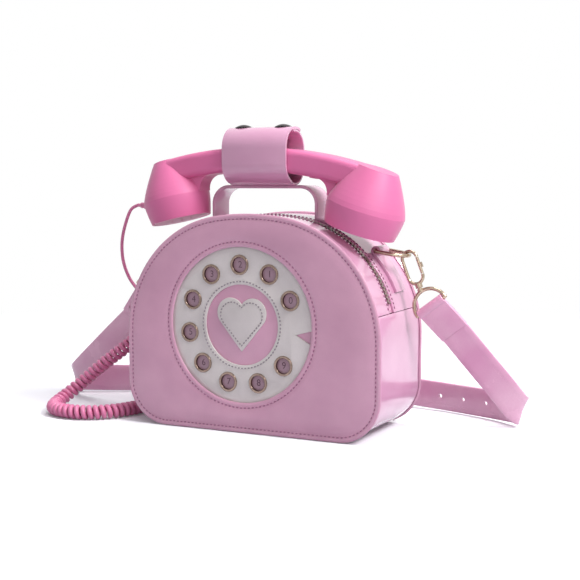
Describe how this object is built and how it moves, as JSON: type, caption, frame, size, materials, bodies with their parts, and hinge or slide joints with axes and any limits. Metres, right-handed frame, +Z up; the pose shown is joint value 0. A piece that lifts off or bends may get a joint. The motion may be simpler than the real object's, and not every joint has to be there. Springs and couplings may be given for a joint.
{
  "type": "telephone-shaped shoulder bag",
  "caption": "Telephone-shaped structured shoulder bag with a dial front, zip gusset, removable corded handset in a snap cuff, and a hooked shoulder strap.",
  "frame": {"origin": "centre of the bag's base, on the surface it stands on", "axes": "+X across the bag to the right as its dial is seen, +Y from the dial to the back, +Z up"},
  "size_m": [0.423, 0.1903, 0.2402],
  "materials": {
    "patent": "glossy patent",
    "patent_gusset": "glossy patent",
    "zip_tape": "woven",
    "zip_metal": "plated",
    "white_leather": "semi-gloss",
    "gunmetal": "polished dark plating",
    "pale_gold": "polished pale gold plating",
    "cord_pink": "semi-gloss",
    "soft_pink": "soft touch",
    "black_plastic": "matte"
  },
  "bodies": {
    "bag": {"front_panel": "patent", "back_panel": "patent", "gusset_band": "patent_gusset", "zip_strip_front": "patent_gusset", "zip_strip_rear": "patent_gusset", "zip_tape_front": "zip_tape", "zip_tape_rear": "zip_tape", "zip_teeth_front": "zip_metal", "zip_teeth_rear": "zip_metal", "base_board": "patent", "dial_backing": "patent", "dial_ring": "white_leather", "dial_eyelets": "gunmetal", "heart_patch": "white_leather", "top_handle": "patent_gusset", "ring_tab_left": "patent_gusset", "ring_tab_right": "patent_gusset", "cuff_back": "patent_gusset", "snap_studs": "gunmetal", "strap_end_left": "patent", "strap_end_right": "patent", "strap_long": "patent", "strap_short": "patent", "buckle_chape": "patent", "strap_buckle": "pale_gold", "buckle_prong": "pale_gold", "strap_keeper": "patent", "strap_loop_left": "pale_gold", "strap_loop_right": "pale_gold", "cord_lead": "cord_pink", "cord_curls": "cord_pink", "cord_tail": "cord_pink", "plug_body": "cord_pink", "plug_pin": "pale_gold"},
    "zip_slider": {"zip_slider": "pale_gold"},
    "zip_pull": {"zip_pull": "pale_gold"},
    "cuff_flap": {"cuff_flap": "patent_gusset", "snap_caps": "gunmetal"},
    "handset": {"handset_shell": "soft_pink", "earpiece_cap": "soft_pink", "mouthpiece_cap": "soft_pink", "earpiece_speaker": "black_plastic", "microphone": "black_plastic", "strain_relief": "cord_pink"},
    "call_button": {"call_button": "soft_pink"},
    "d_ring_left": {"d_ring_left": "pale_gold"},
    "d_ring_right": {"d_ring_right": "pale_gold"},
    "hook_left": {"hook_left": "pale_gold"},
    "hook_right": {"hook_right": "pale_gold"},
    "gate_left": {"gate_left": "pale_gold"},
    "gate_right": {"gate_right": "pale_gold"}
  },
  "joints": [
    {"name": "zip_run", "type": "hinge", "parent": "bag", "child": "zip_slider", "pos_m": [-0.015, -0.012, 0.075], "axis": [0, 1, 0], "range_deg": [0, 58]},
    {"name": "zip_pull_swing", "type": "hinge", "parent": "zip_slider", "child": "zip_pull", "pos_m": [-0.10482, -0.012, 0.11111], "axis": [0, 1, 0], "range_deg": [0, 40]},
    {"name": "cuff_open", "type": "hinge", "parent": "bag", "child": "cuff_flap", "pos_m": [-0.0055, -0.0129, 0.1939], "axis": [1, 0, 0], "range_deg": [0, 110]},
    {"name": "handset_draw", "type": "slide", "parent": "bag", "child": "handset", "axis": [0, -0.866, 0.5], "range_m": [0, 0.035]},
    {"name": "call_press", "type": "slide", "parent": "handset", "child": "call_button", "axis": [0.1702, 0, 0.9854], "range_m": [0, 0.0008], "stiffness_N_per_m": 200},
    {"name": "d_ring_left_swing", "type": "hinge", "parent": "bag", "child": "d_ring_left", "pos_m": [-0.0857, 0.014, 0.14185], "axis": [0, 1, 0], "range_deg": [-2.5, 0.5]},
    {"name": "d_ring_right_swing", "type": "hinge", "parent": "bag", "child": "d_ring_right", "pos_m": [0.0857, 0.014, 0.14185], "axis": [0, 1, 0], "range_deg": [-0.5, 2.5]},
    {"name": "hook_left_swivel", "type": "hinge", "parent": "bag", "child": "hook_left", "pos_m": [-0.11711, 0.014, 0.11709], "axis": [0.3584, 0, 0.9336], "range_deg": [-15, 15]},
    {"name": "hook_right_swivel", "type": "hinge", "parent": "bag", "child": "hook_right", "pos_m": [0.11711, 0.014, 0.11709], "axis": [-0.3584, 0, 0.9336], "range_deg": [-15, 15]},
    {"name": "gate_left_open", "type": "hinge", "parent": "hook_left", "child": "gate_left", "pos_m": [-0.12043, 0.014, 0.12517], "axis": [0, 1, 0], "range_deg": [0, 12], "stiffness_Nm_per_rad": 0.02},
    {"name": "gate_right_open", "type": "hinge", "parent": "hook_right", "child": "gate_right", "pos_m": [0.12043, 0.014, 0.12517], "axis": [0, -1, 0], "range_deg": [0, 12], "stiffness_Nm_per_rad": 0.02}
  ],
  "couplings": [
    {"joint": "cuff_open", "follows": "handset_draw", "rad_per_m": 54.85}
  ]
}
